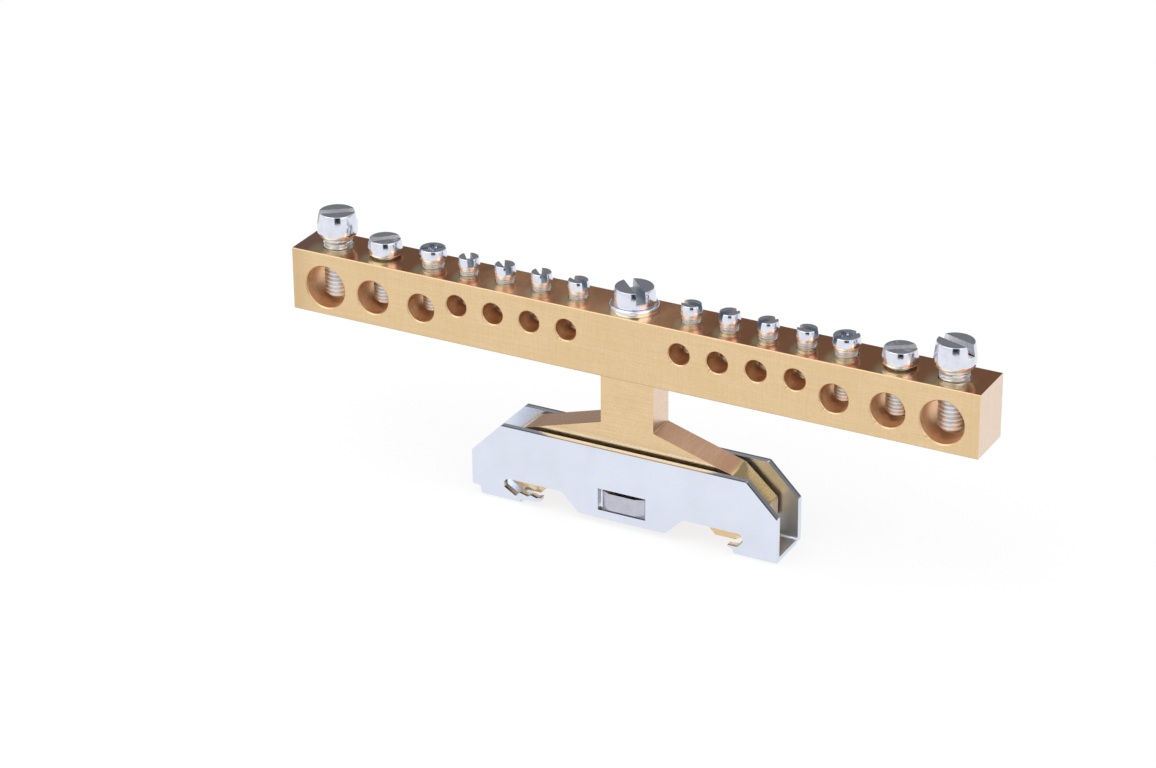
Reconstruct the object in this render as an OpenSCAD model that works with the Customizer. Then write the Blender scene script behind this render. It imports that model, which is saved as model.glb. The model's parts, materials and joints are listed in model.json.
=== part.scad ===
/* [Terminal bar] */
// Length of the brass bar
bar_l = 100.5; // [95:0.5:120]
// Depth of the bar from its front face to its back face
bar_d = 7.5; // [7:0.1:10]
// Height of the bar
bar_h = 9; // [8.6:0.1:12]
// Radius on the bar's four long edges
bar_edge_r = 0.2; // [0.1:0.05:1.5]

/* [Wire holes] */
// Distance of the innermost wire hole from the middle of the bar
first_hole_x = 8.3; // [7:0.1:10]
// Spacing of the small and combination terminals
inner_pitch = 5.5; // [5.2:0.1:6]
// Spacing of the medium and large terminals
outer_pitch = 7.45; // [7:0.05:8]
// Diameter of the large wire hole
large_hole_d = 6; // [5:0.1:6.4]
// Diameter of the medium wire hole
medium_hole_d = 4.75; // [4.2:0.05:5.5]
// Diameter of the combination terminal's wire hole
combi_hole_d = 4; // [3.4:0.1:4.8]
// Diameter of the small wire hole
small_hole_d = 3; // [2.8:0.1:3.6]
// Drop of the larger wire holes below the bar's middle height
hole_drop = 0.4; // [0:0.1:0.8]
// Rise of the small wire holes above the bar's middle height
small_hole_rise = 1.05; // [0:0.05:1.4]
// Chamfer around the mouth of each wire hole
hole_chamfer = 0.15; // [0.05:0.05:0.3]

/* [Clamp screws] */
// Thread diameter of the large clamp screw
large_thread_d = 4; // [3:0.1:4.5]
// Head diameter of the large clamp screw
large_head_d = 5.7; // [5:0.1:6.4]
// Head height of the large clamp screw
large_head_h = 3.1; // [2:0.05:3.5]
// Height of the large head above the bar
large_standoff = 1.85; // [1:0.05:3.5]
// Thread diameter of the medium clamp screw
medium_thread_d = 3.5; // [3:0.1:4]
// Head diameter of the medium clamp screw
medium_head_d = 4.85; // [4.4:0.05:5.8]
// Head height of the medium clamp screw
medium_head_h = 1.9; // [1.4:0.05:2.6]
// Height of the medium head above the bar
medium_standoff = 0.55; // [0.3:0.05:2]
// Thread diameter of the combination clamp screw
combi_thread_d = 3; // [2.5:0.1:3.4]
// Head diameter of the combination clamp screw
combi_head_d = 3.8; // [3.6:0.05:4.8]
// Head height of the combination clamp screw
combi_head_h = 1.3; // [1.1:0.05:2]
// Height of the combination head above the bar
combi_standoff = 1.25; // [0.4:0.05:2.5]
// Thread diameter of the small clamp screw
small_thread_d = 2.5; // [2:0.1:2.7]
// Head diameter of the small clamp screw
small_head_d = 3; // [2.8:0.05:4.4]
// Head height of the small clamp screw
small_head_h = 1.5; // [1.1:0.05:2]
// Height of the small head above the bar
small_standoff = 0.85; // [0.4:0.05:2]
// Gap between the large screw's tip and the floor of its wire hole
large_tip_gap = 0.65; // [0.3:0.05:1.2]
// Gap between the medium screw's tip and the floor of its wire hole
medium_tip_gap = 0.55; // [0.3:0.05:1]
// Gap between the combination screw's tip and the floor of its wire hole
combi_tip_gap = 0.5; // [0.3:0.05:1]
// Gap between a small screw's tip and the floor of its wire hole
small_tip_gap = 0.35; // [0.3:0.05:0.8]
// Lean of the side of a cheese head, in degrees
head_lean = 7; // [0:1:10]
// Radius around the top of a head
head_edge_r = 0.15; // [0.05:0.05:0.25]
// Radius around the base of a head, as a share of the head's height
head_base_share = 0.15; // [0.05:0.01:0.25]
// Running clearance around a thread, on the radius
thread_play = 0.05; // [0.02:0.01:0.1]

/* [Rail foot] */
// Depth of the brass foot from front to back
foot_d = 4.5; // [4.4:0.1:5.6]
// Width of the foot's upright stem
stem_w = 7.8; // [6.5:0.1:10]
// Height of the stem from the inner corners up to the bar
stem_h = 7.55; // [5:0.05:12]
// Length of the foot from end to end
foot_l = 40.2; // [38:0.1:43]
// Height of the foot from its jaws up to the inner corners
foot_h = 12.8; // [11.8:0.05:15]
// Drop of the sloping shoulder from the inner corner to the outer corner
shoulder_drop = 3.4; // [1.5:0.05:4]
// Length of the bevel at each end of the shoulders, measured along the foot
foot_bevel = 4.7; // [3:0.1:6]
// Drop of the bevel at each end of the shoulders
foot_bevel_drop = 4.2; // [3:0.1:5.5]
// Rise of the relief outside each brass jaw
foot_relief = 2.4; // [1:0.1:3]
// Length of each flat brass jaw
foot_jaw_l = 2.9; // [2:0.1:4]
// Distance of the jaws' inner ends from the middle
foot_jaw_x = 13.1; // [12:0.1:13.5]
// Height of the brass jaw above the clip's hook at rest
jaw_gap = 0.1; // [0:0.05:0.5]
// Room over the nut in the notch in the foot's underside
notch_room = 0.65; // [0.3:0.05:1]
// Room at each side of the nut in that notch
notch_side_room = 0.7; // [0.5:0.1:2]
// Slant of the sides of that notch, measured along the foot
notch_slant = 0.4; // [0.2:0.1:1]
// Height of the foot's underside above the top of the rail slots
foot_under_rise = 0.4; // [0.2:0.05:0.8]

/* [Rail clip] */
// Width of the rail that the clip takes
rail_w = 35; // [34.7:0.1:35.3]
// Play between each edge of the rail and the end of its slot
rail_play = 0.35; // [0.1:0.05:0.6]
// Length of the clip from end to end
clip_l = 45.5; // [44:0.1:50]
// Height of the clip
clip_h = 11.35; // [10:0.05:14]
// Thickness of the folded sheet
sheet_t = 1; // [0.7:0.05:1.1]
// Gap between each cheek and the foot
cheek_gap = 0.6; // [0.2:0.05:0.8]
// Size of the bevels on the upper corners
clip_bevel = 4.5; // [3:0.1:6]
// Outside radius of the folds along the bottom
fold_r = 1.25; // [1.2:0.05:1.4]
// Height of the cheeks' lower edge, which is the top of the rail slots
slot_top = 3.6; // [3.4:0.05:4]
// Height of the slots' hooks
hook_top = 1.6; // [1.5:0.05:1.8]
// Reach of the long hook, from the end of its slot
long_reach = 5.65; // [5.2:0.05:6.5]
// Reach of the short hook, from the end of its slot
short_reach = 2.45; // [2.2:0.05:3]
// Rise of the long hook's root above its top, at the end of its slot
hook_root = 0.7; // [0.5:0.05:0.9]
// Distance from the end of the long slot to the notch in its hook
hook_notch_in = 1.75; // [1.5:0.05:1.9]
// Depth of that notch below the hook's top
hook_notch_drop = 0.35; // [0.1:0.05:0.45]
// Length along the hook of the slope from that notch up to the first tooth
hook_notch_slope = 0.6; // [0.4:0.05:0.8]
// Distance from the end of the long slot to the dip between the hook's teeth
hook_dip_in = 3.6; // [3.3:0.05:3.8]
// Length along the hook of the slope from that dip up to the second tooth
hook_dip_slope = 0.5; // [0.3:0.05:0.6]
// Rise of the teeth and the tip above the long hook's top
hook_tooth = 0.3; // [0.1:0.05:0.4]
// Length of the lip at the tip of the long hook
hook_lip = 0.7; // [0.4:0.05:0.9]
// Thickness of the long hook's tip
hook_tip_t = 0.7; // [0.5:0.05:0.9]
// Depth of the long hook's strap edge below the hook's top
hook_neck_t = 1.1; // [0.9:0.05:1.3]
// Rise and length of the slope at the root of the short hook
short_root = 0.75; // [0.5:0.05:0.9]
// Thickness of the short hook at its strap
short_hook_t = 0.5; // [0.3:0.05:0.8]
// Distance from the end of the long slot to the inner edge of its strap
long_strap_in = 2.15; // [2:0.05:2.4]
// Distance from the end of the short slot to the inner edge of its strap
short_strap_in = 1.4; // [1.2:0.05:1.6]
// Step from the clip's left end to the outer edge of its strap
strap_step = 1.3; // [1:0.1:2.5]
// Diagonal at the foot of the clip's right end
end_diagonal = 0.3; // [0.2:0.05:0.6]
// Height of the cheeks' lower edge outside the left strap
skirt_z = 1.65; // [1.3:0.05:2.5]
// Width of the middle lobe at its lower edge
lobe_w = 12.9; // [11:0.1:14]
// Height of the lobe's lower edge above the straps
lobe_clear = 1; // [0.4:0.05:1.2]
// Slant of the lobe's sides, measured along the clip
lobe_slant = 2.6; // [1.5:0.1:3.5]

/* [Clamp nut and centre screw] */
// Width of the nut along the clip
nut_w = 6.4; // [5.5:0.1:7]
// Height of the nut
nut_h = 2.5; // [2:0.1:2.8]
// Width of the bevel at each of the nut's corners
nut_bevel_w = 1.3; // [0.3:0.05:1.5]
// Depth of the bevel at each of the nut's corners
nut_bevel_d = 0.6; // [0.2:0.05:1]
// Set-back of the nut's ends behind the faces of the cheeks
nut_set_back = 0.05; // [0:0.05:0.5]
// Play of the nut at each side of its window
nut_side_play = 0.35; // [0.1:0.05:0.8]
// Play between the nut and the top of its window
nut_top_play = 0.5; // [0.05:0.05:1]
// Play between the nut and the sill of its window
nut_sill_play = 0.2; // [0.05:0.05:0.4]
// Height of the window's sill above the lobe's lower edge
sill_h = 1.2; // [1:0.05:2]
// Thread diameter of the centre screw
centre_thread_d = 3.5; // [3:0.1:3.6]
// Clearance around the centre screw in the bar and the foot, on the radius
centre_play = 0.15; // [0.1:0.05:0.3]
// Head diameter of the centre screw at its base
centre_head_d = 5.9; // [5:0.1:6.4]
// Head height of the centre screw
centre_head_h = 2.3; // [1.6:0.1:3]
// Length of the centre screw's tip below the nut
centre_proud = 0.85; // [0.5:0.05:1.2]
// Outside diameter of the washer
washer_d = 6.6; // [6:0.1:7]
// Thickness of the washer
washer_t = 0.8; // [0.5:0.1:1]

/* [Hidden] */
$fn = 48;

// Room for a cutting shape to pass clean through
eps = 0.02;
through = 200;

// Levels, from the underside of the clip's straps up
jaw_z = hook_top + jaw_gap;
corner_z = jaw_z + foot_h;
bar_z = corner_z + stem_h;
bar_top = bar_z + bar_h;
bar_mid = bar_z + bar_h / 2;
sill_z = lobe_clear + sill_h;
nut_z = sill_z + nut_sill_play;
window_h = nut_h + nut_sill_play + nut_top_play;

// The clip's widths, front to back
clip_gap = foot_d + 2 * cheek_gap;
clip_d = clip_gap + 2 * sheet_t;
slot_end = rail_w / 2 + rail_play;

// Terminal kinds, as numbers into the lists below
LARGE = 0;
MEDIUM = 1;
COMBI = 2;
SMALL = 3;
hole_d = [large_hole_d, medium_hole_d, combi_hole_d, small_hole_d];
thread_d = [large_thread_d, medium_thread_d, combi_thread_d, small_thread_d];
head_d = [large_head_d, medium_head_d, combi_head_d, small_head_d];
head_h = [large_head_h, medium_head_h, combi_head_h, small_head_h];
standoff = [large_standoff, medium_standoff, combi_standoff, small_standoff];
floor_gap = [large_tip_gap, medium_tip_gap, combi_tip_gap, small_tip_gap];
hole_z = [for (k = [LARGE:SMALL]) k == SMALL ? bar_mid + small_hole_rise : bar_mid - hole_drop];
tip_z = [for (k = [LARGE:SMALL]) hole_z[k] - hole_d[k] / 2 + floor_gap[k]];
head_z = [for (k = [LARGE:SMALL]) bar_top + standoff[k]];

// Terminals of one half of the bar, from the middle outwards
half_kinds = [SMALL, SMALL, SMALL, SMALL, COMBI, MEDIUM, LARGE];
outermost = len(half_kinds) - 1;
inner_steps = 4;
half_x = [for (i = [0:outermost])
    first_hole_x + inner_pitch * min(i, inner_steps) + outer_pitch * max(i - inner_steps, 0)];
kinds = concat([for (i = [outermost:-1:0]) half_kinds[i]], half_kinds);
xs = concat([for (i = [outermost:-1:0]) -half_x[i]], half_x);

// Slots in the heads, as a share of the head's own diameter and height
slot_w_share = [0.21, 0.21, 0.19, 0.28];
slot_depth_share = [0.49, 0.6, 0.6, 0.66];
// How far each screw is turned, from the left end to the right end
turns = [48, 38, 40, -51, -42, -46, -24, -5, 59, 59, -5, 60, 34, -19];

// Corner of an outline between p and n, rounded to radius r
function corner(p, c, n, r, steps = 5) =
    let (
        u = (p - c) / norm(p - c),
        v = (n - c) / norm(n - c),
        half = acos(max(-1, min(1, u * v))) / 2,
        mid = c + (u + v) / norm(u + v) * r / sin(half),
        a = c + u * r / tan(half) - mid,
        b = c + v * r / tan(half) - mid
    )
    [for (i = [0:steps]) mid + r * (a + (b - a) * i / steps) / norm(a + (b - a) * i / steps)];

// Outline through the points [x, z, r], each corner rounded to its own r
function rounded(pts) =
    let (n = len(pts))
    [for (i = [0:n - 1])
        let (
            c = [pts[i][0], pts[i][1]],
            q = pts[(i + n - 1) % n],
            s = pts[(i + 1) % n]
        )
        each (pts[i][2] > 0 ? corner([q[0], q[1]], c, [s[0], s[1]], pts[i][2]) : [c])];

function mirrored(pts) = [for (i = [len(pts) - 1:-1:0]) [-pts[i][0], pts[i][1], pts[i][2]]];

// Stands an outline in X and Z up as a plate of depth d, with its front at y
module plate(y, d) {
    translate([0, y + d, 0])
        rotate([90, 0, 0])
            linear_extrude(d)
                children();
}

// Bar

module bar_profile() {
    square([bar_d - 2 * bar_edge_r, bar_h], center = true);
    square([bar_d, bar_h - 2 * bar_edge_r], center = true);
    for (sy = [-1, 1], sz = [-1, 1])
        translate([sy * (bar_d / 2 - bar_edge_r), sz * (bar_h / 2 - bar_edge_r)])
            circle(r = bar_edge_r);
}

module wire_hole(x, k) {
    r = hole_d[k] / 2;
    translate([x, 0, hole_z[k]])
        rotate([90, 0, 0]) {
            cylinder(r = r, h = through, center = true);
            for (s = [0, 1])
                mirror([0, 0, s])
                    translate([0, 0, bar_d / 2 - hole_chamfer])
                        cylinder(r1 = r, r2 = r + hole_chamfer + eps, h = hole_chamfer + eps);
        }
}

module tapped_hole(x, k) {
    r = thread_d[k] / 2 + thread_play;
    translate([x, 0, hole_z[k]])
        cylinder(r = r, h = bar_h);
    translate([x, 0, bar_top - hole_chamfer])
        cylinder(r1 = r, r2 = r + hole_chamfer + eps, h = hole_chamfer + eps);
}

module centre_bore() {
    cylinder(r = centre_thread_d / 2 + centre_play, h = through, center = true);
}

module terminal_bar() {
    color("goldenrod")
        difference() {
            translate([0, 0, bar_mid])
                rotate([90, 0, 90])
                    linear_extrude(bar_l, center = true)
                        bar_profile();
            for (i = [0:len(xs) - 1]) {
                wire_hole(xs[i], kinds[i]);
                tapped_hole(xs[i], kinds[i]);
            }
            centre_bore();
        }
}

// Screws

// Half of a head's section, leaning inwards from its round base to its top edge
module head_section(r, h, lean) {
    top_r = r - h * tan(lean);
    polygon(concat(
        [[0, 0]],
        corner([0, 0], [r, 0], [top_r, h], h * head_base_share),
        corner([r, 0], [top_r, h], [0, h], head_edge_r),
        [[0, h]]
    ));
}

module head_slot(w, depth, h) {
    translate([0, 0, h - depth + through / 2])
        cube([through, w, through], center = true);
}

// Short second arm of a combination recess, which stops inside the rim
module cross_arm(w, l, depth, h) {
    translate([0, 0, h - depth / 2 + eps])
        cube([w, l, depth], center = true);
}

module shank(r, l, chamfer = 0.3) {
    tip = r * chamfer;
    translate([0, 0, -l])
        cylinder(r1 = r - tip, r2 = r, h = tip);
    translate([0, 0, tip - l])
        cylinder(r = r, h = l - tip + eps);
}

module clamp_screw(i) {
    k = kinds[i];
    lean = k == SMALL || k == COMBI ? 0 : head_lean;
    color("lightsteelblue")
        translate([xs[i], 0, head_z[k]])
            rotate([0, 0, turns[i]]) {
                shank(thread_d[k] / 2, head_z[k] - tip_z[k], k == SMALL ? 0.4 : 0.3);
                difference() {
                    rotate_extrude()
                        head_section(head_d[k] / 2, head_h[k], lean);
                    head_slot(head_d[k] * slot_w_share[k], head_h[k] * slot_depth_share[k], head_h[k]);
                    if (k == COMBI)
                        cross_arm(head_d[k] * 0.17, head_d[k] * 0.62, head_h[k] * 0.7, head_h[k]);
                }
            }
}

module centre_screw() {
    head_bottom = bar_top + washer_t;
    color("lightsteelblue")
        translate([0, 0, head_bottom])
            rotate([0, 0, -45]) {
                shank(centre_thread_d / 2, head_bottom - nut_z + centre_proud);
                difference() {
                    rotate_extrude()
                        head_section(centre_head_d / 2, centre_head_h, head_lean);
                    head_slot(centre_head_d * 0.22, centre_head_h * 0.62, centre_head_h);
                }
            }
}

module centre_washer() {
    edge = washer_t * 0.3;
    color("lightsteelblue")
        translate([0, 0, bar_top])
            difference() {
                rotate_extrude()
                    polygon(concat(
                        [[0, 0], [washer_d / 2, 0]],
                        corner([washer_d / 2, 0], [washer_d / 2, washer_t], [0, washer_t], edge),
                        [[0, washer_t]]
                    ));
                cylinder(r = centre_thread_d / 2 + centre_play, h = through, center = true);
            }
}

// Foot

foot_under = slot_top + foot_under_rise;
foot_notch = nut_z + nut_h + notch_room;
foot_notch_x = nut_w / 2 + notch_side_room;

// Right half of the foot's outline, from the middle of the notch to the stem
foot_half = [
    [0, foot_notch, 0],
    [foot_notch_x, foot_notch, 0.4],
    [foot_notch_x + notch_slant, foot_under, 0],
    [foot_jaw_x - (foot_under - jaw_z), foot_under, 0.3],
    [foot_jaw_x, jaw_z, 0.2],
    [foot_jaw_x + foot_jaw_l, jaw_z, 0.3],
    [foot_l / 2, jaw_z + foot_relief, 0.3],
    [foot_l / 2, corner_z - shoulder_drop - foot_bevel_drop, 0.6],
    [foot_l / 2 - foot_bevel, corner_z - shoulder_drop, 1],
    [stem_w / 2, corner_z, 0.15],
    [stem_w / 2, bar_z, 0]
];

module rail_foot() {
    color("goldenrod")
        difference() {
            plate(-foot_d / 2, foot_d)
                polygon(rounded(concat(foot_half, mirrored(foot_half))));
            centre_bore();
        }
}

// Clip

long_strap_x = -slot_end + long_strap_in;
short_strap_x = slot_end - short_strap_in;
below = -1;

// Corner radii of the sheared outline
crisp_r = 0.15;
soft_r = 0.3;
bevel_r = 0.4;
slot_r = 0.75;
long_slot_r = 0.8;
lobe_r = 1;

// Fine steps in the hooks' outlines
lip_rise = 0.05;
tip_slant = 0.15;
neck_in = 0.3;
neck_drop = 0.65;
tongue_slant = 0.3;
tongue_t = 0.1;

// Long hook, from the end of its slot to its strap: two teeth, and a tip that lifts
long_hook = [
    [-slot_end, hook_top + hook_root, soft_r],
    [-slot_end + hook_notch_in, hook_top - hook_notch_drop, crisp_r],
    [-slot_end + hook_notch_in + hook_notch_slope, hook_top + hook_tooth, crisp_r],
    [-slot_end + hook_dip_in, hook_top, soft_r],
    [-slot_end + hook_dip_in + hook_dip_slope, hook_top + hook_tooth, 0.25],
    [-slot_end + long_reach - hook_lip, hook_top + lip_rise, 0.25],
    [-slot_end + long_reach, hook_top + hook_tooth, 0.1],
    [-slot_end + long_reach - tip_slant, hook_top + hook_tooth - hook_tip_t, 0.2],
    [long_strap_x + neck_in, hook_top - neck_drop, 0.2],
    [long_strap_x, hook_top - hook_neck_t, 0],
    [long_strap_x, below, 0]
];

// Short hook, from its strap to the end of its slot: a pointed tongue
short_hook = [
    [short_strap_x, below, 0],
    [short_strap_x, hook_top - short_hook_t, 0],
    [slot_end - short_reach, hook_top - tongue_t, 0.1],
    [slot_end - short_reach + tongue_slant, hook_top, 0.1],
    [slot_end - short_root, hook_top, 0.5],
    [slot_end, hook_top + short_root, bevel_r]
];

clip_outline = concat(
    [
        [-clip_l / 2 + strap_step, below, 0],
        [-clip_l / 2 + strap_step, skirt_z, soft_r],
        [-clip_l / 2, skirt_z, soft_r],
        [-clip_l / 2, clip_h - clip_bevel, bevel_r],
        [-clip_l / 2 + clip_bevel, clip_h, bevel_r],
        [clip_l / 2 - clip_bevel, clip_h, bevel_r],
        [clip_l / 2, clip_h - clip_bevel, bevel_r],
        [clip_l / 2, 2 * end_diagonal, 0],
        [clip_l / 2 - end_diagonal, end_diagonal, 0],
        [clip_l / 2 - end_diagonal, below, 0]
    ],
    short_hook,
    [
        [slot_end, slot_top, slot_r],
        [lobe_w / 2 + lobe_slant, slot_top, lobe_r],
        [lobe_w / 2, lobe_clear, lobe_r],
        [-lobe_w / 2, lobe_clear, lobe_r],
        [-lobe_w / 2 - lobe_slant, slot_top, lobe_r],
        [-slot_end, slot_top, long_slot_r]
    ],
    long_hook
);

// Channel of width w whose lower corners are rounded to r
module channel_profile(w, r) {
    translate([-w / 2, r])
        square([w, clip_h]);
    translate([-w / 2 + r, 0])
        square([w - 2 * r, clip_h]);
    for (s = [-1, 1])
        translate([s * (w / 2 - r), r])
            circle(r = r);
}

// Folded channel between two places along the clip
module channel(x1, x2) {
    translate([x1, 0, 0])
        rotate([90, 0, 90])
            linear_extrude(x2 - x1)
                difference() {
                    channel_profile(clip_d, fold_r);
                    translate([0, sheet_t])
                        channel_profile(clip_gap, fold_r - sheet_t);
                }
}

module flat_cheeks(x1, x2) {
    for (y = [-clip_d / 2, clip_gap / 2])
        translate([x1, y, 0])
            cube([x2 - x1, sheet_t, clip_h + fold_r]);
}

module rail_clip() {
    color("lavender")
        difference() {
            intersection() {
                union() {
                    flat_cheeks(-clip_l / 2, -clip_l / 2 + strap_step);
                    channel(-clip_l / 2 + strap_step, long_strap_x);
                    flat_cheeks(long_strap_x, short_strap_x);
                    channel(short_strap_x, clip_l / 2);
                }
                plate(-through / 2, through)
                    polygon(rounded(clip_outline));
            }
            translate([-nut_w / 2 - nut_side_play, -through / 2, sill_z])
                cube([nut_w + 2 * nut_side_play, through, window_h]);
        }
}

// Nut

// Plan of the nut: a block whose corners are bevelled where they show in the windows
module nut_plan() {
    l = clip_d / 2 - nut_set_back;
    flat = nut_w / 2 - nut_bevel_w;
    bevel_l = l - nut_bevel_d;
    polygon([
        [-nut_w / 2, -bevel_l], [-flat, -l], [flat, -l], [nut_w / 2, -bevel_l],
        [nut_w / 2, bevel_l], [flat, l], [-flat, l], [-nut_w / 2, bevel_l]
    ]);
}

module clamp_nut() {
    color("silver")
        translate([0, 0, nut_z])
            linear_extrude(nut_h)
                difference() {
                    nut_plan();
                    circle(r = centre_thread_d / 2 + thread_play);
                }
}

rail_clip();
clamp_nut();
rail_foot();
terminal_bar();
centre_washer();
centre_screw();
clamp_screw(0);  // large_screw_left
clamp_screw(1);  // medium_screw_left
clamp_screw(2);  // combi_screw_left
clamp_screw(3);  // small_screw_1
clamp_screw(4);  // small_screw_2
clamp_screw(5);  // small_screw_3
clamp_screw(6);  // small_screw_4
clamp_screw(7);  // small_screw_5
clamp_screw(8);  // small_screw_6
clamp_screw(9);  // small_screw_7
clamp_screw(10);  // small_screw_8
clamp_screw(11);  // combi_screw_right
clamp_screw(12);  // medium_screw_right
clamp_screw(13);  // large_screw_right
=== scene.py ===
"""Dresses the packed earth terminal bar.

The bar and its foot are brass, the screws are plated and have real threads, and the foot grips its
rail with a nut and a folded, plated clip.
"""

import json
import math

import bpy
from mathutils import Matrix, Vector

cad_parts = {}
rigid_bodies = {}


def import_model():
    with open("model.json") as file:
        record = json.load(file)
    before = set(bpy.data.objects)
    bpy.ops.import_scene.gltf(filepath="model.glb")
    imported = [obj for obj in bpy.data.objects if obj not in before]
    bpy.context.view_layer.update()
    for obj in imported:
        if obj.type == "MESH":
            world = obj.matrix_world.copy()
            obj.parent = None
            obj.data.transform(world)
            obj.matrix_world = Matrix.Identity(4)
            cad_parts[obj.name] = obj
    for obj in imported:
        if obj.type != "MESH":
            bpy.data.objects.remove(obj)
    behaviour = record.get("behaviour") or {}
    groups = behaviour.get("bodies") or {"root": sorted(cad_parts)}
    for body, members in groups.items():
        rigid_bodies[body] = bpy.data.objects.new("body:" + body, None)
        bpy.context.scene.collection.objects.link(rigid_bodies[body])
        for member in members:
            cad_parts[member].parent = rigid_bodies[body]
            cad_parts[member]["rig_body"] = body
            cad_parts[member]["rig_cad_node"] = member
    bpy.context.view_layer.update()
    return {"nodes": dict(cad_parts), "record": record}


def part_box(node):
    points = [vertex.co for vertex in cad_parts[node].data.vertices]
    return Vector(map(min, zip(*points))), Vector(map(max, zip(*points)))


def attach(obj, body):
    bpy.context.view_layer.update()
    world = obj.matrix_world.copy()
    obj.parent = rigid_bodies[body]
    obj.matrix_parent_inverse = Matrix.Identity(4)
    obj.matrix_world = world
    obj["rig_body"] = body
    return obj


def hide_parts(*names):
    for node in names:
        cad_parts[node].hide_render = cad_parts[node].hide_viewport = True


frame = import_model()

MM = 0.001
TAU = 2 * math.pi

# Camera, fitted to the bar's corners and hole rims. The picture is 1156 pixels wide, angles are in
# degrees, and the distance and the point that the camera looks at are in millimetres
PICTURE_WIDTH = 1156
SENSOR_WIDTH = 36.0
FOCAL_PIXELS = 3763.3
CAMERA_AZIMUTH = 28.131
CAMERA_ELEVATION = 25.876
CAMERA_ROLL = -0.467
CAMERA_DISTANCE = 493.57
CAMERA_AIM = (-5.27, -5.97, 21.38)

# Screws by kind, in millimetres. "thread" is the thread's radius, "tip" the chamfer at its tip as a
# share of that radius, "slot" the slot's width and depth, and "head" the head's height above its
# seat. The head's side bulges: it stands upright at the round base and leans by "lean" degrees at
# the top edge. The base curves in and up by "base", and starts "under" millimetres below the seat
KINDS = {
    "large": {
        "thread": 2.0, "pitch": 0.6, "tip": 0.3, "slot": (1.2, 1.52),
        "head": 3.1, "lean": 14, "base": (0.84, 0.95), "under": 0.50,
    },
    "medium": {
        "thread": 1.75, "pitch": 0.5, "tip": 0.3, "slot": (1.02, 1.14),
        "head": 1.9, "lean": 15, "base": (0.40, 0.40), "under": 0.30,
    },
    "combi": {
        "thread": 1.5, "pitch": 0.45, "tip": 0.3, "slot": (0.72, 0.78),
        "head": 1.3, "lean": 13, "base": (0.38, 0.50), "under": 0.35,
    },
    "small": {
        "thread": 1.25, "pitch": 0.4, "tip": 0.4, "slot": (0.84, 0.99),
        "head": 1.5, "lean": 13, "base": (0.25, 0.25), "under": 0,
    },
    "centre": {
        "thread": 1.75, "pitch": 0.5, "tip": 0.3, "slot": (1.3, 1.43),
        "head": 2.3, "lean": 16, "base": (0.20, 0.20), "under": 0,
    },
}

# Every head: the radius of its top edge, how far its neck goes down into the thread, and into how
# many steps its base, side, top edge and girth are divided
HEAD_EDGE = 0.12
NECK = 0.3
BASE_STEPS = 12
SIDE_STEPS = 8
EDGE_STEPS = 3
HEAD_STEPS = 72

# Every thread: its depth as a share of the pitch, the steps in one turn, and its tooth as pairs of
# how far it stands out, from 0 at the root to 1 at the crest, and of height as a share of the pitch
THREAD_DEPTH = 0.60
THREAD_STEPS = 40
TOOTH = [(0, 0), (0, 0.12), (1, 0.44), (1, 0.56), (0, 0.88), (0, 1)]

# Cross recess: the arm across the slot, and the two ticks between them. Widths are in millimetres,
# and the ticks' turns in degrees. The arm reaches over a share of the head, and a tick over a share
# of the arm. Both cutters' heights are shares of the head's height, and half of each is in the head
ARM_WIDTH = 0.62
ARM_REACH = 0.62
ARM_DEPTH = 1.4
TICK_WIDTH = 0.30
TICK_REACH = 0.66
TICK_DEPTH = 0.5
TICK_TURNS = (45, 135)

# How far each screw is turned, in degrees, from the left end to the right end
TURNS = {
    "large_screw_left": 37, "medium_screw_left": 45, "combi_screw_left": 40,
    "small_screw_1": -51, "small_screw_2": -42, "small_screw_3": -46, "small_screw_4": -24,
    "centre_screw": -45,
    "small_screw_5": -5, "small_screw_6": 59, "small_screw_7": 59, "small_screw_8": -5,
    "combi_screw_right": 60, "medium_screw_right": 34, "large_screw_right": -19,
}

# Drill nicks at the lower left of these wire holes, in millimetres and degrees. A nick lies
# NICK_ANGLE below the level of the hole's middle and NICK_GAP outside the rim, and is turned off the
# radius by NICK_TILT
NICKED_HOLES = (
    "small_wire_hole_4", "small_wire_hole_5", "small_wire_hole_6", "small_wire_hole_8",
    "combi_wire_hole_right", "medium_wire_hole_right", "large_wire_hole_right",
)
NICK_SIZE = (0.20, 0.16, 0.62)
NICK_GAP = 0.28
NICK_ANGLE = 52
NICK_TILT = 8

# A piece's edges are rounded by its width here, in millimetres, where they are sharper than a SHARP
# angle in degrees. On the screws the short edges of the threads hold the rounding far below its
# width. Edges blunter than a SMOOTH angle, in degrees too, are shaded smooth
SCREW_ROUND = 0.03
BAR_ROUND = 0.04
FOOT_ROUND = 0.05
CLIP_ROUND = 0.06
NUT_ROUND = 0.08
WASHER_ROUND = 0.04
SCREW_SHARP = 50
CAD_SHARP = 35
SCREW_SMOOTH = 12
CAD_SMOOTH = 40

# Points within these distances, in millimetres, are merged, and so are faces within FLAT degrees
WELD = 0.0005
THREAD_WELD = 0.002
FLAT = 0.5

# Faces this far inside all sides of the bar, in millimetres, are the walls of its holes
WALL_DEPTH = 0.17

# Studio, in metres and watts. FLOOR_GLOW is the floor's white light as a share, for the camera and
# in the metal. The greys are those of the room behind the object, by the height of the direction
# from level, 0, to overhead, 1
FLOOR_SIZE = 8
FLOOR_GLOW = 0.8
CARD_DISTANCE = 0.46
CARD_SIZE = (0.30, 0.002, 0.19)
LAMP_AIM = (0, 0, 0.02)
ROOM_FRONT = (0.95, 0.96, 1.0)
ROOM_GREYS = [(0.0, 0.52), (0.15, 0.40), (0.33, 0.21), (0.49, 0.21), (0.58, 0.68), (0.85, 0.95)]


# Shader maths

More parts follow.
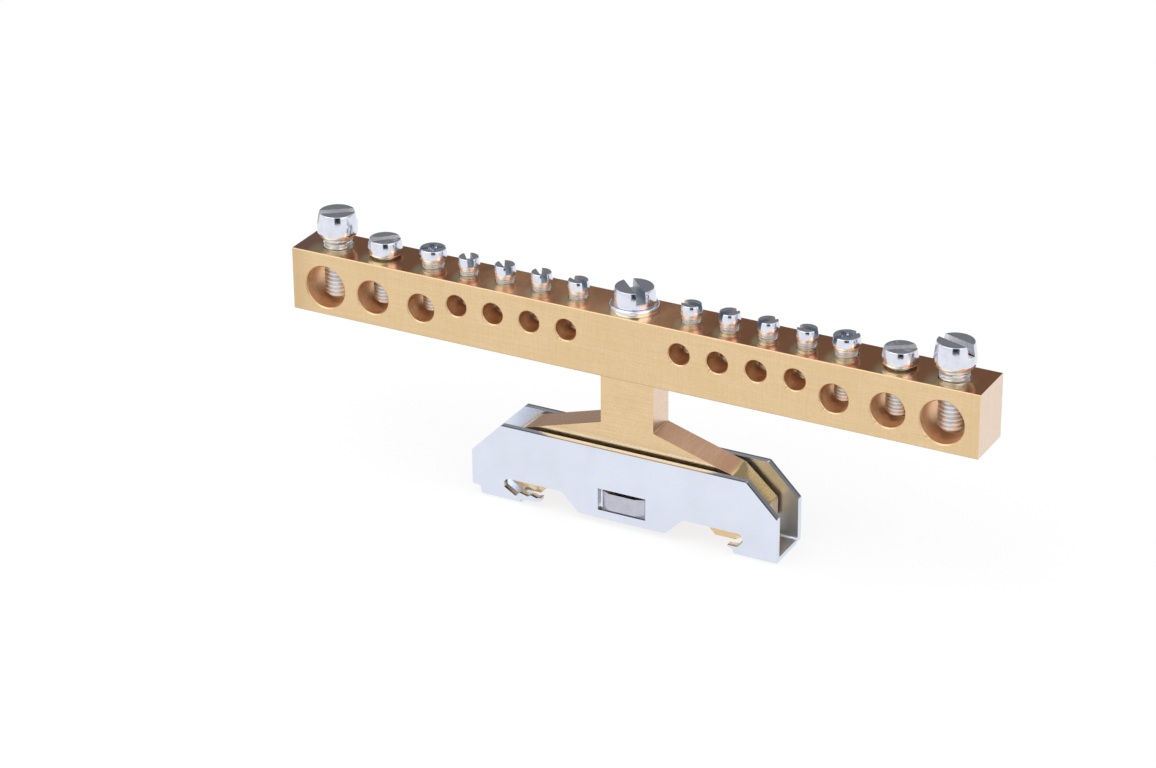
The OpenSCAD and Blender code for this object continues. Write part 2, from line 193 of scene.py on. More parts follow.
class Value:
    """A shader socket that Python's operators work on."""

    def __init__(self, finish, socket):
        self.finish = finish
        self.socket = socket

    def math(self, operation, other=0.0, swap=False):
        pair = (other, self) if swap else (self, other)
        return self.finish.add("ShaderNodeMath", {"operation": operation}, {0: pair[0], 1: pair[1]})

    def __add__(self, other):
        return self.math("ADD", other)

    def __radd__(self, other):
        return self.math("ADD", other)

    def __sub__(self, other):
        return self.math("SUBTRACT", other)

    def __rsub__(self, other):
        return self.math("SUBTRACT", other, swap=True)

    def __mul__(self, other):
        return self.math("MULTIPLY", other)

    def __rmul__(self, other):
        return self.math("MULTIPLY", other)

    def __abs__(self):
        return self.math("ABSOLUTE")

    def most(self, other):
        return self.math("MAXIMUM", other)

    def ramp(self, low, high, to_low=0.0, to_high=1.0):
        """The value from low to high, as a smooth step from to_low to to_high."""
        settings = {"interpolation_type": "SMOOTHSTEP", "clamp": True}
        inputs = {0: self, 1: low, 2: high, 3: to_low, 4: to_high}
        return self.finish.add("ShaderNodeMapRange", settings, inputs)


class Finish:
    """A material or world under construction."""

    def __init__(self, tree):
        self.tree = tree
        tree.nodes.clear()

    def add(self, kind, settings=None, inputs=None, output=0):
        """Adds a node, sets it, then fills its inputs with numbers or links."""
        node = self.tree.nodes.new(kind)
        for key, value in (settings or {}).items():
            if key == "stops":
                self.set_stops(node.color_ramp, value)
            else:
                setattr(node, key, value)
        for key, value in (inputs or {}).items():
            if isinstance(value, Value):
                self.tree.links.new(value.socket, node.inputs[key])
            else:
                node.inputs[key].default_value = value
        return Value(self, node.outputs[output])

    def set_stops(self, ramp, stops):
        while len(ramp.elements) < len(stops):
            ramp.elements.new(1.0)
        for element, (place, colour) in zip(ramp.elements, stops):
            element.position = place
            element.color = (*colour, 1.0)

    def place(self, stretch, turn):
        """Object coordinates, scaled along each axis and turned."""
        where = self.add("ShaderNodeTexCoord", output="Object")
        inputs = {"Vector": where, "Scale": stretch, "Rotation": turn}
        return self.add("ShaderNodeMapping", {}, inputs)

    def noise(self, scale, detail=3.0, rough=0.5, stretch=(1, 1, 1), turn=(0, 0, 0)):
        """Noise from 0 to 1. A stretch of thousands along an axis draws fine lines across it."""
        where = self.place(stretch, turn)
        inputs = {"Vector": where, "Scale": scale, "Detail": detail, "Roughness": rough}
        return self.add("ShaderNodeTexNoise", {}, inputs, "Fac")

    def position(self):
        """Object coordinates along X, Y and Z, in metres."""
        where = self.add("ShaderNodeTexCoord", output="Object")
        return [self.add("ShaderNodeSeparateXYZ", {}, {0: where}, axis) for axis in "XYZ"]

    def facing(self):
        """How far a face points along X, Y and Z, without its sign."""
        normal = self.add("ShaderNodeNewGeometry", output="True Normal")
        return [abs(self.add("ShaderNodeSeparateXYZ", {}, {0: normal}, axis)) for axis in "XYZ"]

    def blend(self, factor, first, second):
        """The first colour where the factor is 0, and the second where it is 1."""
        pair = [tint if isinstance(tint, Value) else (*tint, 1.0) for tint in (first, second)]
        return self.add("ShaderNodeMix", {"data_type": "RGBA"}, {0: factor, 6: pair[0], 7: pair[1]}, 2)

    def bump(self, height, depth):
        inputs = {"Height": height, "Distance": depth, "Strength": 1.0}
        return self.add("ShaderNodeBump", {}, inputs)

    def metal(self, colour, roughness, normal):
        inputs = {"Base Color": colour, "Roughness": roughness, "Normal": normal, "Metallic": 1.0}
        shader = self.add("ShaderNodeBsdfPrincipled", {}, inputs)
        self.show("ShaderNodeOutputMaterial", shader)

    def show(self, output, shader):
        """Leads the shader to an output node, which ends the material or world."""
        node = self.tree.nodes.new(output)
        self.tree.links.new(shader.socket, node.inputs["Surface"])


def new_finish(name):
    material = bpy.data.materials.new(name)
    material.use_nodes = True
    return material, Finish(material.node_tree)


# Colours

BRASS = (0.812, 0.612, 0.366)
BRASS_DEEP = (0.725, 0.525, 0.290)
# Stains, and the painted shade on the bar's rounded edges
BRASS_STAIN_AND_SHADE = (0.560, 0.370, 0.200)
SKIN_BROWN = (0.560, 0.240, 0.110)
SKIN_COPPER = (0.880, 0.480, 0.250)
# Gold of the screw heads' painted reflection on the bar's top
SCREW_REFLECTION_GOLD = (0.770, 0.620, 0.370)
SKIN_PURPLE = (0.520, 0.270, 0.220)
# Tones of the sawn ends, made pale pink with painted light
SAWN_PINK_PAINTED_LIGHT = (0.890, 0.740, 0.620)
SAWN_DEEP_PAINTED_LIGHT = (0.780, 0.600, 0.470)
# Hole wall tones, raised with painted light against the shade inside the holes
BORE_PAINTED_LIGHT = (0.980, 0.680, 0.420)
BORE_DEEP_PAINTED_LIGHT = (0.860, 0.490, 0.270)
SHOULDER = (0.840, 0.540, 0.370)
SHOULDER_DEEP = (0.760, 0.430, 0.270)
SHOULDER_BROWN = (0.640, 0.370, 0.220)
# Tones of the foot's sides, made pale pink with painted light
STEM_SIDE_PAINTED_LIGHT = (0.830, 0.650, 0.520)
STEM_SIDE_DEEP_PAINTED_LIGHT = (0.770, 0.580, 0.440)
BEVEL_GOLD = (0.880, 0.680, 0.310)
ZINC = (0.745, 0.788, 0.893)
ZINC_DULL = (0.705, 0.748, 0.845)
ZINC_BRIGHT = (0.800, 0.830, 0.910)
# Specks, the painted shade on the sheet's level edges, and the nearly black painted shade next to
# their outer faces
ZINC_SPECK_AND_EDGE_SHADE = (0.420, 0.435, 0.480)
EDGE_PAINTED_SHADE = (0.230, 0.235, 0.270)
# Olive of the brass foot's painted reflection inside the sheet
BRASS_REFLECTION_OLIVE = (0.740, 0.710, 0.600)
SCREW_ZINC = (0.770, 0.790, 0.870)
SCREW_DULL = (0.640, 0.660, 0.740)
# Recess zinc of the smaller screws, darkened as painted shade
SLOT_ZINC_PAINTED_SHADE = (0.520, 0.560, 0.620)
SLOT_DULL_PAINTED_SHADE = (0.370, 0.400, 0.450)
THREAD_ZINC = (0.850, 0.860, 0.890)
THREAD_DULL = (0.700, 0.690, 0.670)
NUT_GREY = (0.540, 0.550, 0.620)
NUT_DEEP = (0.470, 0.470, 0.530)


# Finishes

def screw_reflection_spots(x, y):
    """1 close to each screw, where the screw heads' reflection is painted in gold, and 0 between."""
    head_reflection = None
    for node in TURNS:
        low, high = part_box(node)
        reach = (high.x - low.x) / 2
        offset = x - (low.x + high.x) / 2
        spot = 1 - (offset * offset + 0.2 * y * y).ramp((0.7 * reach) ** 2, (1.3 * reach) ** 2)
        head_reflection = spot if head_reflection is None else head_reflection.most(spot)
    return head_reflection


def drawn_brass():
    """The bar: brushed front and back, darker skin on top and underneath, and sawn ends made pale
    with painted light.

    The skin is coppery around the middle and purple at the left end, and carries a painted gold
    reflection of the screws close to them and in front of them. The left end of the front is
    stained, and the rounded edges are darkened with painted shade.
    """
    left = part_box("terminal_bar")[0].x
    material, f = new_finish("drawn_brass")
    along_x, along_y, along_z = f.facing()
    x, y, _ = f.position()
    sawn = along_x.ramp(0.75, 0.95)
    skin = along_z.ramp(0.85, 0.97)
    # Painted shade: 1 on faces that slant off the bar's axes, such as its rounded edges
    rim = (1 - along_x.most(along_y).most(along_z)).ramp(0.005, 0.06)
    lines = f.noise(1, 4, 0.65, (140, 6500, 6500))
    hatch = f.noise(1, 3, 0.6, (6500, 6500, 260))
    grain = f.noise(4200, 3, 0.6)
    cloud = f.noise(170, 4, 0.6)
    spots = f.noise(620, 5, 0.65, (0.6, 1, 1)).ramp(0.62, 0.80)
    brush = 0.40 * lines + 0.25 * hatch + 0.35 * grain
    front = f.blend(brush.ramp(0.38, 0.62), BRASS_DEEP, BRASS)
    front = f.blend(cloud.ramp(0.40, 0.75) * 0.45, front, BRASS_DEEP)
    front = f.blend(spots * 0.22, front, BRASS_STAIN_AND_SHADE)
    left_end = 1 - x.ramp(left + 0.25 * MM, left + 4.25 * MM, 0.60, 1.0)
    front = f.blend(left_end, front, BRASS_STAIN_AND_SHADE)
    middle = 1 - abs(x + 8 * MM).ramp(12 * MM, 25 * MM)
    tide = f.noise(190, 4, 0.6, (1, 0.5, 1))
    patch = (0.30 * middle + 0.9 * tide - 0.15).ramp(0.25, 0.85)
    tarnish = f.blend(patch * (0.35 + 0.65 * middle), SKIN_BROWN, SKIN_COPPER)
    tarnish = f.blend(1 - x.ramp(left + 0.25 * MM, left + 6.25 * MM), tarnish, SKIN_PURPLE)
    # Painted reflection: the screw heads mirrored in gold on the skin, in front of them
    painted_head_reflection = screw_reflection_spots(x, y) * (1 - y.ramp(-2.6 * MM, 1.2 * MM))
    tarnish = f.blend(painted_head_reflection * 0.95, tarnish, SCREW_REFLECTION_GOLD)
    # The saw marks are real; the pale pink of the ends is painted light
    saw = f.noise(1, 4, 0.7, (9000, 9000, 700), (0.2, 0, 0))
    cut = f.blend(saw.ramp(0.28, 0.66), SAWN_DEEP_PAINTED_LIGHT, SAWN_PINK_PAINTED_LIGHT)
    colour = f.blend(sawn, f.blend(skin, front, tarnish), cut)
    # Painted shade on the rounded edges, varied by the grain
    colour = f.blend(rim * (0.35 + 0.6 * grain), colour, BRASS_STAIN_AND_SHADE)
    rough = (0.30 + 0.14 * brush) * (1 - skin) + (0.17 + 0.10 * patch) * skin
    rough = rough * (1 - sawn) + (0.36 + 0.16 * saw) * sawn
    height = brush * (1 - 0.7 * skin) * (1 - sawn) + saw * sawn * 1.2
    f.metal(colour, rough, f.bump(height, 0.022 * MM))
    return material


def bored_brass():
    """The walls of the drilled holes: rings left by the drill, in tones raised with painted light."""
    material, f = new_finish("bored_brass")
    rings = f.noise(1, 3, 0.6, (500, 9000, 500))
    smear = f.noise(900, 3, 0.6)
    colour = f.blend(rings.ramp(0.38, 0.62), BORE_DEEP_PAINTED_LIGHT, BORE_PAINTED_LIGHT)
    colour = f.blend(smear.ramp(0.45, 0.75) * 0.4, colour, BORE_DEEP_PAINTED_LIGHT)
    f.metal(colour, 0.32 + 0.2 * rings, f.bump(rings * 0.9 + smear * 0.4, 0.03 * MM))
    return material


def foot_brass():
    """The foot, cut from an extruded section: brushed front and back, and a redder skin around, with
    its sides made pale pink with painted light.

    The shoulders are browner, but for the middle of the right one, which is left lighter as a
    painted highlight, and end in golden bevels.
    """
    material, f = new_finish("foot_brass")
    _, along_y, along_z = f.facing()
    x, _, z = f.position()
    face = along_y.ramp(0.75, 0.95)
    up = along_z.ramp(0.35, 0.90)
    end = abs(x).ramp(14.6 * MM, 15.6 * MM)
    across = f.noise(1, 4, 0.65, (2600, 160, 2600))
    lines = f.noise(1, 4, 0.6, (150, 7500, 7000), (0, 0.2, 0))
    grain = f.noise(4200, 3, 0.6)
    cloud = f.noise(190, 4, 0.6)
    mottle = 0.45 * across + 0.30 * grain + 0.25 * cloud
    brush = 0.6 * lines + 0.4 * grain
    front = f.blend(brush.ramp(0.36, 0.64), BRASS_DEEP, BRASS)
    # The sides' pale pink is painted light
    side = f.blend(mottle.ramp(0.40, 0.62), STEM_SIDE_DEEP_PAINTED_LIGHT, STEM_SIDE_PAINTED_LIGHT)
    shoulder = f.blend(mottle.ramp(0.40, 0.62), SHOULDER_DEEP, SHOULDER)
    # Painted highlight: 0 in the middle of the right shoulder, which stays lighter
    browner = abs(x - 9.5 * MM).ramp(1.5 * MM, 6 * MM)
    shoulder = f.blend(browner * 0.7, shoulder, SHOULDER_BROWN)
    shoulder = f.blend(end * 0.9, shoulder, BEVEL_GOLD)
    colour = f.blend(face, f.blend(up, side, shoulder), front)
    colour = f.blend(cloud.ramp(0.45, 0.80) * 0.25, colour, BRASS_STAIN_AND_SHADE)
    rough = (0.22 + 0.10 * mottle) * (1 - face) + (0.20 + 0.10 * brush) * face
    f.metal(colour, rough, f.bump(0.5 * across * (1 - face) + 0.7 * brush * face, 0.02 * MM))
    return material


def plated_sheet():
    """Blue-white zinc on the folded sheet, with a painted olive reflection of the brass foot inside
    its right end.

    Level sheared edges above the folds carry painted shade: darker, and nearly black next to the
    outer faces.
    """
    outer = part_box("rail_clip")[1].y
    material, f = new_finish("plated_sheet")
    _, along_y, along_z = f.facing()
    x, y, z = f.position()
    depth = outer - abs(y)
    edge = 1 - along_y.ramp(0.30, 0.80)
    # Painted reflection: the inner faces of the right end, where the brass foot is mirrored
    inside = depth.ramp(0.91 * MM, 0.99 * MM) * along_y
    inside = inside * x.ramp(13 * MM, 19 * MM) * z.ramp(1 * MM, 3 * MM)
    roll = f.noise(1, 4, 0.6, (220, 5000, 5200))
    cloud = f.noise(160, 4, 0.55)
    speck = f.noise(2600, 2, 0.5)
    shear = f.noise(1, 3, 0.6, (2600, 260, 2600))
    colour = f.blend(cloud.ramp(0.35, 0.72), ZINC, ZINC_DULL)
    colour = f.blend(roll.ramp(0.45, 0.75) * 0.25, colour, ZINC_BRIGHT)
    colour = f.blend(speck.ramp(0.70, 0.84) * 0.12, colour, ZINC_SPECK_AND_EDGE_SHADE)
    # Painted reflection of the brass foot in olive
    colour = f.blend(inside * (0.45 + 0.5 * cloud), colour, BRASS_REFLECTION_OLIVE)
    # Painted shade on the level edges above the folds
    sheared = edge * along_z.ramp(0.3, 0.7) * z.ramp(1.1 * MM, 1.5 * MM)
    # Nearly black painted shade next to the outer faces
    painted_edge_shade = sheared * (1 - depth.ramp(0.25 * MM, 0.40 * MM))
    colour = f.blend(sheared * 0.25, colour, ZINC_SPECK_AND_EDGE_SHADE)
    colour = f.blend(painted_edge_shade * (0.75 + 0.25 * shear), colour, EDGE_PAINTED_SHADE)
    rough = 0.22 + 0.08 * cloud + 0.06 * roll - 0.04 * edge + 0.08 * inside
    height = cloud * 0.5 + roll * 0.2 + speck * 0.1 + shear * edge * 0.5
    f.metal(colour, rough, f.bump(height, 0.025 * MM))
    return material


def plated_steel(name, bright, dull, least_rough, relief):
    """Zinc on a turned or pressed piece, with its least roughness and its relief in millimetres."""
    material, f = new_finish(name)
    cloud = f.noise(900, 4, 0.6)
    speck = f.noise(5200, 2, 0.5)
    colour = f.blend(cloud.ramp(0.35, 0.72) * 0.6, bright, dull)
    colour = f.blend(speck.ramp(0.58, 0.76) * 0.30, colour, dull)
    rough = least_rough + 0.08 * cloud + 0.06 * speck
    f.metal(colour, rough, f.bump(cloud * 1.0 + speck * 0.3, relief * MM))
    return material


# Modelling

def deselect():
    if bpy.context.object and bpy.context.object.mode != "OBJECT":
        bpy.ops.object.mode_set(mode="OBJECT")
    bpy.ops.object.select_all(action="DESELECT")


def activate(piece):
    deselect()
    piece.select_set(True)
    bpy.context.view_layer.objects.active = piece


def edit(piece, select="DESELECT"):
    activate(piece)
    bpy.ops.object.mode_set(mode="EDIT")
    bpy.ops.mesh.select_all(action=select)


def leave_edit():
    bpy.ops.object.mode_set(mode="OBJECT")


def settle(piece):
    """Puts the piece's place into its mesh."""
    activate(piece)
    bpy.ops.object.transform_apply(location=True, rotation=True, scale=True)


def outline(name, points):
    """A chain of edges through points [x, z] in millimetres, drawn by extruding one vertex."""
    x, z = points[0]
    deselect()
    bpy.ops.mesh.primitive_plane_add(size=MM, location=(x * MM, 0, z * MM))
    piece = bpy.context.object
    piece.name = name
    settle(piece)
    edit(piece, "SELECT")
    bpy.ops.mesh.merge(type="CENTER")
    for (x1, z1), (x2, z2) in zip(points, points[1:]):
        step = ((x2 - x1) * MM, 0, (z2 - z1) * MM)
        bpy.ops.mesh.extrude_region_move(TRANSFORM_OT_translate={"value": step})
    leave_edit()
    return piece


def apply_modifier(piece, kind, **settings):
    activate(piece)
    bpy.ops.object.modifier_add(type=kind)
    modifier = piece.modifiers[-1]
    for key, value in settings.items():
        setattr(modifier, key, value)
    bpy.ops.object.modifier_apply(modifier=modifier.name)


def combine(piece, other, operation):
    """Cuts, joins or trims the piece with another closed one, which is used up."""
    apply_modifier(piece, "BOOLEAN", object=other, operation=operation, solver="EXACT")
    bpy.data.objects.remove(other)


def round_edges(piece, width, angle):
    """Rounds the edges sharper than an angle in degrees, by a width in millimetres."""
    apply_modifier(piece, "BEVEL", width=width * MM, segments=2, limit_method="ANGLE",
                   angle_limit=math.radians(angle), harden_normals=False)


def smooth(piece, angle):
    """Smooth shading below an angle, with flat faces kept flat right up to their rounded edges."""
    activate(piece)
    bpy.ops.object.shade_smooth_by_angle(angle=math.radians(angle))
    apply_modifier(piece, "WEIGHTED_NORMAL", mode="FACE_AREA", weight=100, keep_sharp=True)


def turned(name, points, steps):
    """A round piece, spun from its half section."""
    piece = outline(name, points)
    edit(piece, "SELECT")
    bpy.ops.mesh.spin(steps=steps, angle=TAU, center=(0, 0, 0), axis=(0, 0, 1))
    bpy.ops.mesh.select_all(action="SELECT")
    bpy.ops.mesh.remove_doubles(threshold=WELD * MM)
    bpy.ops.mesh.normals_make_consistent(inside=False)
    leave_edit()
    return piece


def block(name, size, centre, turn=(0, 0, 0)):
    """A cutter: a box of a size in millimetres, turned by degrees about X, Y and Z."""
    deselect()
    angles = [math.radians(angle) for angle in turn]
    bpy.ops.mesh.primitive_cube_add(size=1, location=Vector(centre) * MM, rotation=angles)
    piece = bpy.context.object
    piece.name = name
    piece.scale = Vector(size) * MM
    settle(piece)
    return piece


def arc(centre, radius, start, end, steps):
    """Points on an arc, with angles in degrees from +X towards +Z."""
    angles = [math.radians(start + (end - start) * i / steps) for i in range(steps + 1)]
    return [(centre[0] + radius * math.cos(a), centre[1] + radius * math.sin(a)) for a in angles]


def head_profile(radius, kind):
    """Half section of a head on its neck: round base, bulging side, small round top edge."""
    inward, upward = kind["base"]
    bottom = -kind["under"]
    top_edge = kind["head"] - HEAD_EDGE
    points = [(0, bottom - NECK), (kind["thread"], bottom - NECK), (kind["thread"], bottom)]
    for x, z in arc((0, 0), 1, -90, 0, BASE_STEPS):
        points.append((radius - inward + inward * x, bottom + upward + upward * z))
    x = radius
    side = bottom + upward
    rise = (top_edge - side) / SIDE_STEPS
    for step in range(SIDE_STEPS):
        x -= rise * math.tan(math.radians(kind["lean"] * (step + 0.5) / SIDE_STEPS))
        points.append((x, side + rise * (step + 1)))
    points += arc((x - HEAD_EDGE, top_edge), HEAD_EDGE, kind["lean"], 90, EDGE_STEPS)[1:]
    points.append((0, kind["head"]))
    return points


def threaded_rod(name, kind, length):
    """The thread from the tip, at z = -length, up to z = 0, cut to its tip chamfer."""
    crest = kind["thread"]
    pitch = kind["pitch"]
    depth = THREAD_DEPTH * pitch
    root = crest - depth
    turns = math.ceil(length / pitch) + 2
    start = -length - pitch
    rod = outline(name, [(root + out * depth, start + up * pitch) for out, up in TOOTH])
    apply_modifier(rod, "SCREW", axis="Z", angle=TAU, screw_offset=pitch * MM, iterations=turns,
                   steps=THREAD_STEPS, render_steps=THREAD_STEPS,
                   use_merge_vertices=True, merge_threshold=THREAD_WELD * MM)
    edit(rod, "SELECT")
    bpy.ops.mesh.remove_doubles(threshold=THREAD_WELD * MM)
    bpy.ops.mesh.select_all(action="DESELECT")
    bpy.ops.mesh.select_non_manifold(extend=False, use_wire=False, use_multi_face=False,
                                     use_non_contiguous=False, use_verts=False)
    bpy.ops.mesh.fill()
    bpy.ops.mesh.select_all(action="SELECT")
    bpy.ops.mesh.normals_make_consistent(inside=False)
    leave_edit()
    tip = kind["tip"] * crest
    room = 0.2
    top = 0.05
    envelope = [(0, -length), (crest - tip, -length), (crest + room, -length + tip + room)]
    envelope += [(crest + room, top), (0, top)]
    combine(rod, turned("envelope", envelope, THREAD_STEPS), "INTERSECT")
    return rod


def cut_recess(head, kind, radius, has_cross):
    """Cuts the slot along X and, on a combination screw, the cross that goes with it."""
    width, depth = kind["slot"]
    height = kind["head"]
    top = (0, 0, height)
    through = 4 * radius
    combine(head, block("slot", (through, width, 2 * depth), top), "DIFFERENCE")
    if has_cross:
        reach = ARM_REACH * 2 * radius
        combine(head, block("arm", (ARM_WIDTH, reach, ARM_DEPTH * height), top), "DIFFERENCE")
        for turn in TICK_TURNS:
            size = (TICK_WIDTH, TICK_REACH * reach, TICK_DEPTH * height)
            combine(head, block("tick", size, top, (0, 0, turn)), "DIFFERENCE")


def seat_of(node, kind):
    """The middle of the underside of a screw's head, in millimetres."""
    low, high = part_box(node)
    top = Vector(((low.x + high.x) / 2, (low.y + high.y) / 2, high.z)) / MM
    return top - Vector((0, 0, kind["head"]))


def finish_screw(piece, kind, finishes):
    """Finishes for the head, for the thread with the head's underside, and for the recess."""
    width, depth = kind["slot"]
    recess_top = kind["head"] - SCREW_ROUND
    recess_floor = kind["head"] - depth - 0.1
    recess_side = width / 2 + 0.02
    underside_top = 0.3 * kind["base"][1] - kind["under"]
    for finish in finishes:
        piece.data.materials.append(finish)
    for face in piece.data.polygons:
        _, y, z = face.center / MM
        if recess_floor < z < recess_top and abs(y) < recess_side:
            face.material_index = 2
        elif z < underside_top:
            face.material_index = 1


def model_screw(node, kind_name, finishes):
    """A screw that stands at the origin, unturned: head, recess and thread down to the tip."""
    kind = KINDS[kind_name]
    low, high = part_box(node)
    radius = (high.x - low.x) / 2 / MM
    length = seat_of(node, kind).z - low.z / MM
    piece = turned(kind_name + "_model", head_profile(radius, kind), HEAD_STEPS)
    cut_recess(piece, kind, radius, kind_name == "combi")
    combine(piece, threaded_rod("rod", kind, length), "UNION")
    round_edges(piece, SCREW_ROUND, SCREW_SHARP)
    finish_screw(piece, kind, finishes)
    smooth(piece, SCREW_SMOOTH)
    return piece


def place_screw(model, node, kind_name):
    """A copy of the model, turned and set in its terminal."""
    deselect()
    piece = model.copy()
    piece.data = model.data.copy()
    piece.name = node + "_turned"
    bpy.context.scene.collection.objects.link(piece)
    piece.location = seat_of(node, KINDS[kind_name]) * MM
    piece.rotation_euler = (0, 0, math.radians(TURNS[node]))
    settle(piece)
    return piece


def dressed(node, name, width, finish):
    """A copy of a CAD node with its triangles joined and its sharp edges rounded."""
    deselect()
    source = frame["nodes"][node]
    piece = source.copy()
    piece.data = source.data.copy()
    piece.name = name
    piece.parent = None
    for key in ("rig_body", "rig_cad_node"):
        del piece[key]
    bpy.context.scene.collection.objects.link(piece)
    edit(piece, "SELECT")
    bpy.ops.mesh.customdata_custom_splitnormals_clear()
    bpy.ops.mesh.remove_doubles(threshold=WELD * MM)
    bpy.ops.mesh.dissolve_limited(angle_limit=math.radians(FLAT))
    leave_edit()
    round_edges(piece, width, CAD_SHARP)
    smooth(piece, CAD_SMOOTH)
    piece.data.materials.clear()
    piece.data.materials.append(finish)
    return piece


def keep_width(piece, node):
    """Brings the piece back to its CAD node's width along Y, which a bevel may pass by a hair."""
    _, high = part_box(node)
    piece.scale.y = high.y / max(abs(corner[1]) for corner in piece.bound_box)
    settle(piece)


def stand_in(piece, node):
    """The piece shows in the place of its CAD node and moves with it."""
    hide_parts(node)
    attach(piece, frame["nodes"][node]["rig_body"])


def bore_walls(bar, finish):
    """Gives the walls of the holes their own finish; their chamfers keep the bar's."""
    low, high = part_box("terminal_bar")
    middle = (low + high) / 2
    bar.data.materials.append(finish)
    for face in bar.data.polygons:
        depth = [(high[i] - low[i]) / 2 - abs(face.center[i] - middle[i]) for i in range(3)]
        if min(depth) > WALL_DEPTH * MM:
            face.material_index = 1


def nick_rims(bar):
    """Small cuts that the drill left at the lower left of some hole rims."""
    holes = {mount["name"]: mount for mount in frame["record"]["mounts"]}
    angle = math.radians(NICK_ANGLE)
    turn = (0, 90 - NICK_ANGLE + NICK_TILT, 0)
    for name in NICKED_HOLES:
        rim = Vector(holes[name]["pos_m"]) / MM
        reach = holes[name]["dims"]["r_mm"] + NICK_GAP
        centre = rim - reach * Vector((math.cos(angle), 0, math.sin(angle)))
        combine(bar, block("nick", NICK_SIZE, centre, turn), "DIFFERENCE")


# The object

screw_finish = plated_steel("plated_screw", SCREW_ZINC, SCREW_DULL, 0.07, 0.010)
thread_finish = plated_steel("plated_thread", THREAD_ZINC, THREAD_DULL, 0.36, 0.012)
# The recess finish of the smaller screws is darker with painted shade
slot_shade_finish = plated_steel("plated_slot", SLOT_ZINC_PAINTED_SHADE, SLOT_DULL_PAINTED_SHADE, 0.32, 0.012)
nut_finish = plated_steel("plated_nut", NUT_GREY, NUT_DEEP, 0.20, 0.004)

models = {}
for node in TURNS:
    kind_name = node.split("_")[0]
    if kind_name not in models:
        # The smaller screws' recesses get the finish with painted shade
        recess_finish = thread_finish if kind_name in ("large", "medium") else slot_shade_finish
        finishes = (screw_finish, thread_finish, recess_finish)
        models[kind_name] = model_screw(node, kind_name, finishes)
    stand_in(place_screw(models[kind_name], node, kind_name), node)
for model in models.values():
    bpy.data.objects.remove(model)

bar = dressed("terminal_bar", "bar_drawn", BAR_ROUND, drawn_brass())
nick_rims(bar)
bore_walls(bar, bored_brass())
smooth(bar, CAD_SMOOTH)
stand_in(bar, "terminal_bar")

foot = dressed("rail_foot", "foot_cut", FOOT_ROUND, foot_brass())
stand_in(foot, "rail_foot")

clip = dressed("rail_clip", "clip_folded", CLIP_ROUND, plated_sheet())
keep_width(clip, "rail_clip")
stand_in(clip, "rail_clip")

nut = dressed("clamp_nut", "nut_plated", NUT_ROUND, nut_finish)
stand_in(nut, "clamp_nut")

washer = dressed("centre_washer", "washer_plated", WASHER_ROUND, screw_finish)
stand_in(washer, "centre_washer")


# Studio

def studio_floor():
    """White to the camera and in the metal, and pale paper with the object's shadow otherwise."""
    material, f = new_finish("paper_floor")
    seen = f.add("ShaderNodeLightPath", output="Is Camera Ray")
    for ray in ("Is Glossy Ray", "Is Transmission Ray"):
        seen = seen.most(f.add("ShaderNodeLightPath", output=ray))
    paper = f.add("ShaderNodeBsdfDiffuse", {}, {"Color": (0.9, 0.9, 0.9, 1)})
    glow = f.add("ShaderNodeEmission", {}, {"Color": (1, 1, 1, 1), "Strength": 1.0})
    mix = f.add("ShaderNodeMixShader", {}, {0: seen * FLOOR_GLOW, 1: paper, 2: glow})
    f.show("ShaderNodeOutputMaterial", mix)
    deselect()
    bpy.ops.mesh.primitive_plane_add(size=FLOOR_SIZE, location=(0, 0, 0))
    floor = bpy.context.object
    floor.name = "floor"
    floor.data.materials.append(material)


def studio_world():
    """White to the camera; around the object a pale room that is darker behind it."""
    world = bpy.data.worlds.new("studio")
    bpy.context.scene.world = world
    world.use_nodes = True
    f = Finish(world.node_tree)
    direction = f.add("ShaderNodeTexCoord", output="Generated")
    y, z = [f.add("ShaderNodeSeparateXYZ", {}, {0: direction}, axis) for axis in "YZ"]
    rear = y.ramp(0.05, 0.45)
    stops = [(height, (grey,) * 3) for height, grey in ROOM_GREYS]
    shade = f.add("ShaderNodeValToRGB", {"stops": stops}, {0: z})
    room = f.blend(rear, ROOM_FRONT, shade)
    seen = f.add("ShaderNodeLightPath", output="Is Camera Ray")
    colour = f.blend(seen, room, (1.0, 1.0, 1.0))
    background = f.add("ShaderNodeBackground", {}, {"Color": colour, "Strength": 1.0})
    f.show("ShaderNodeOutputWorld", background)


def towards_camera():
    """The level direction from the object to where the photograph was taken."""
    azimuth = math.radians(CAMERA_AZIMUTH)
    return Vector((math.sin(azimuth), -math.cos(azimuth), 0))


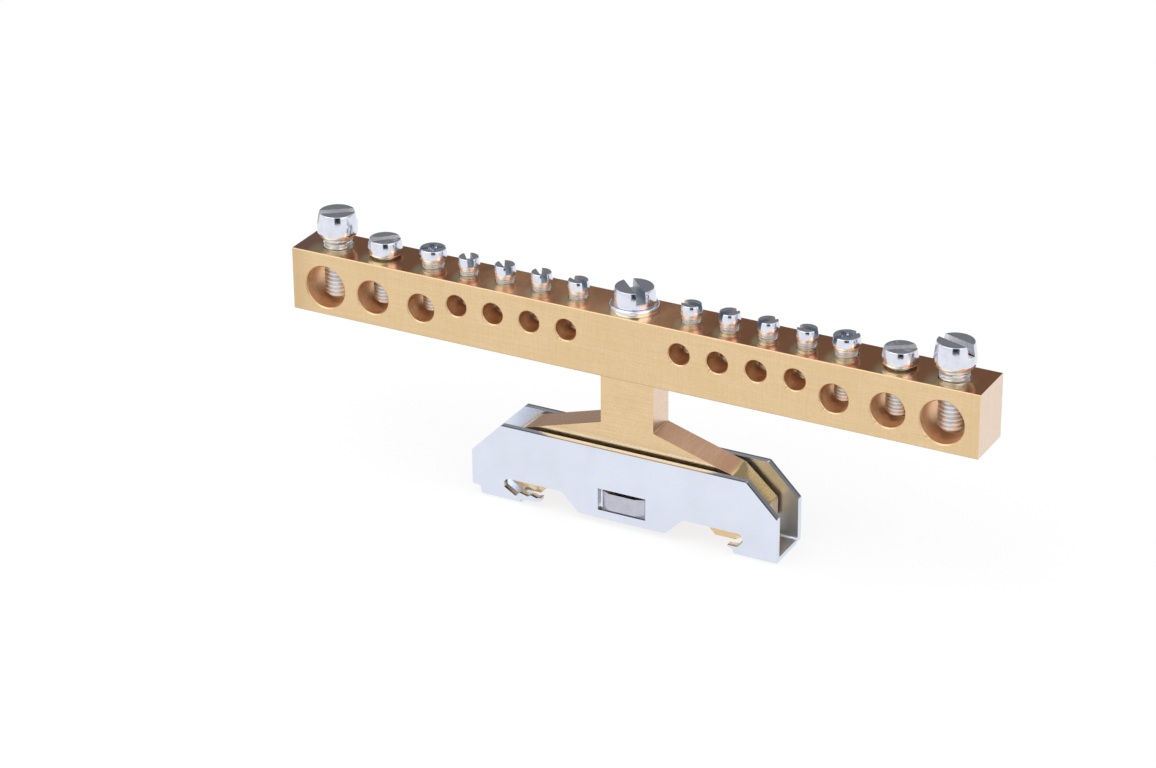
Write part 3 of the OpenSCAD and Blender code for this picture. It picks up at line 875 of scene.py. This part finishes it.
def dark_card():
    """A dark strip in front of the object, which heads mirror and every camera sees through."""
    material, f = new_finish("dark_card")
    seen = f.add("ShaderNodeLightPath", output="Is Camera Ray")
    dark = f.add("ShaderNodeBsdfDiffuse", {}, {"Color": (0.02, 0.02, 0.025, 1)})
    clear = f.add("ShaderNodeBsdfTransparent")
    mix = f.add("ShaderNodeMixShader", {}, {0: seen, 1: dark, 2: clear})
    f.show("ShaderNodeOutputMaterial", mix)
    deselect()
    place = towards_camera() * CARD_DISTANCE + Vector((0, 0, CARD_SIZE[2] / 2))
    turn = (0, 0, math.radians(CAMERA_AZIMUTH))
    bpy.ops.mesh.primitive_cube_add(size=1, location=place, rotation=turn)
    card = bpy.context.object
    card.name = "dark_card"
    card.scale = CARD_SIZE
    settle(card)
    card.data.materials.append(material)


def lamp(name, place, size, watts):
    """A square lamp that faces the object."""
    data = bpy.data.lights.new(name, "AREA")
    data.shape = "SQUARE"
    data.size = size
    data.energy = watts
    lamp_object = bpy.data.objects.new(name, data)
    bpy.context.scene.collection.objects.link(lamp_object)
    lamp_object.location = place
    way = Vector(LAMP_AIM) - Vector(place)
    lamp_object.rotation_euler = way.to_track_quat("-Z", "Y").to_euler()


def camera():
    elevation = math.radians(CAMERA_ELEVATION)
    level = towards_camera()
    back = level * math.cos(elevation) + Vector((0, 0, math.sin(elevation)))
    right = Vector((-level.y, level.x, 0))
    up = back.cross(right)
    roll = Matrix.Rotation(math.radians(CAMERA_ROLL), 3, "Z")
    axes = Matrix((right, up, back)).transposed() @ roll
    data = bpy.data.cameras.new("camera")
    data.sensor_width = SENSOR_WIDTH
    data.lens = FOCAL_PIXELS / PICTURE_WIDTH * SENSOR_WIDTH
    data.clip_start = 0.01
    data.clip_end = 50
    camera_object = bpy.data.objects.new("camera", data)
    bpy.context.scene.collection.objects.link(camera_object)
    place = Matrix.Translation((Vector(CAMERA_AIM) + back * CAMERA_DISTANCE) * MM)
    camera_object.matrix_world = place @ axes.to_4x4()
    bpy.context.scene.camera = camera_object


studio_floor()
studio_world()
dark_card()
lamp("key", place=(-0.5, -0.6, 0.9), size=1.2, watts=6)
lamp("fill", place=(0.8, -0.3, 0.6), size=0.9, watts=3)
camera()
bpy.context.scene.view_settings.view_transform = "Standard"
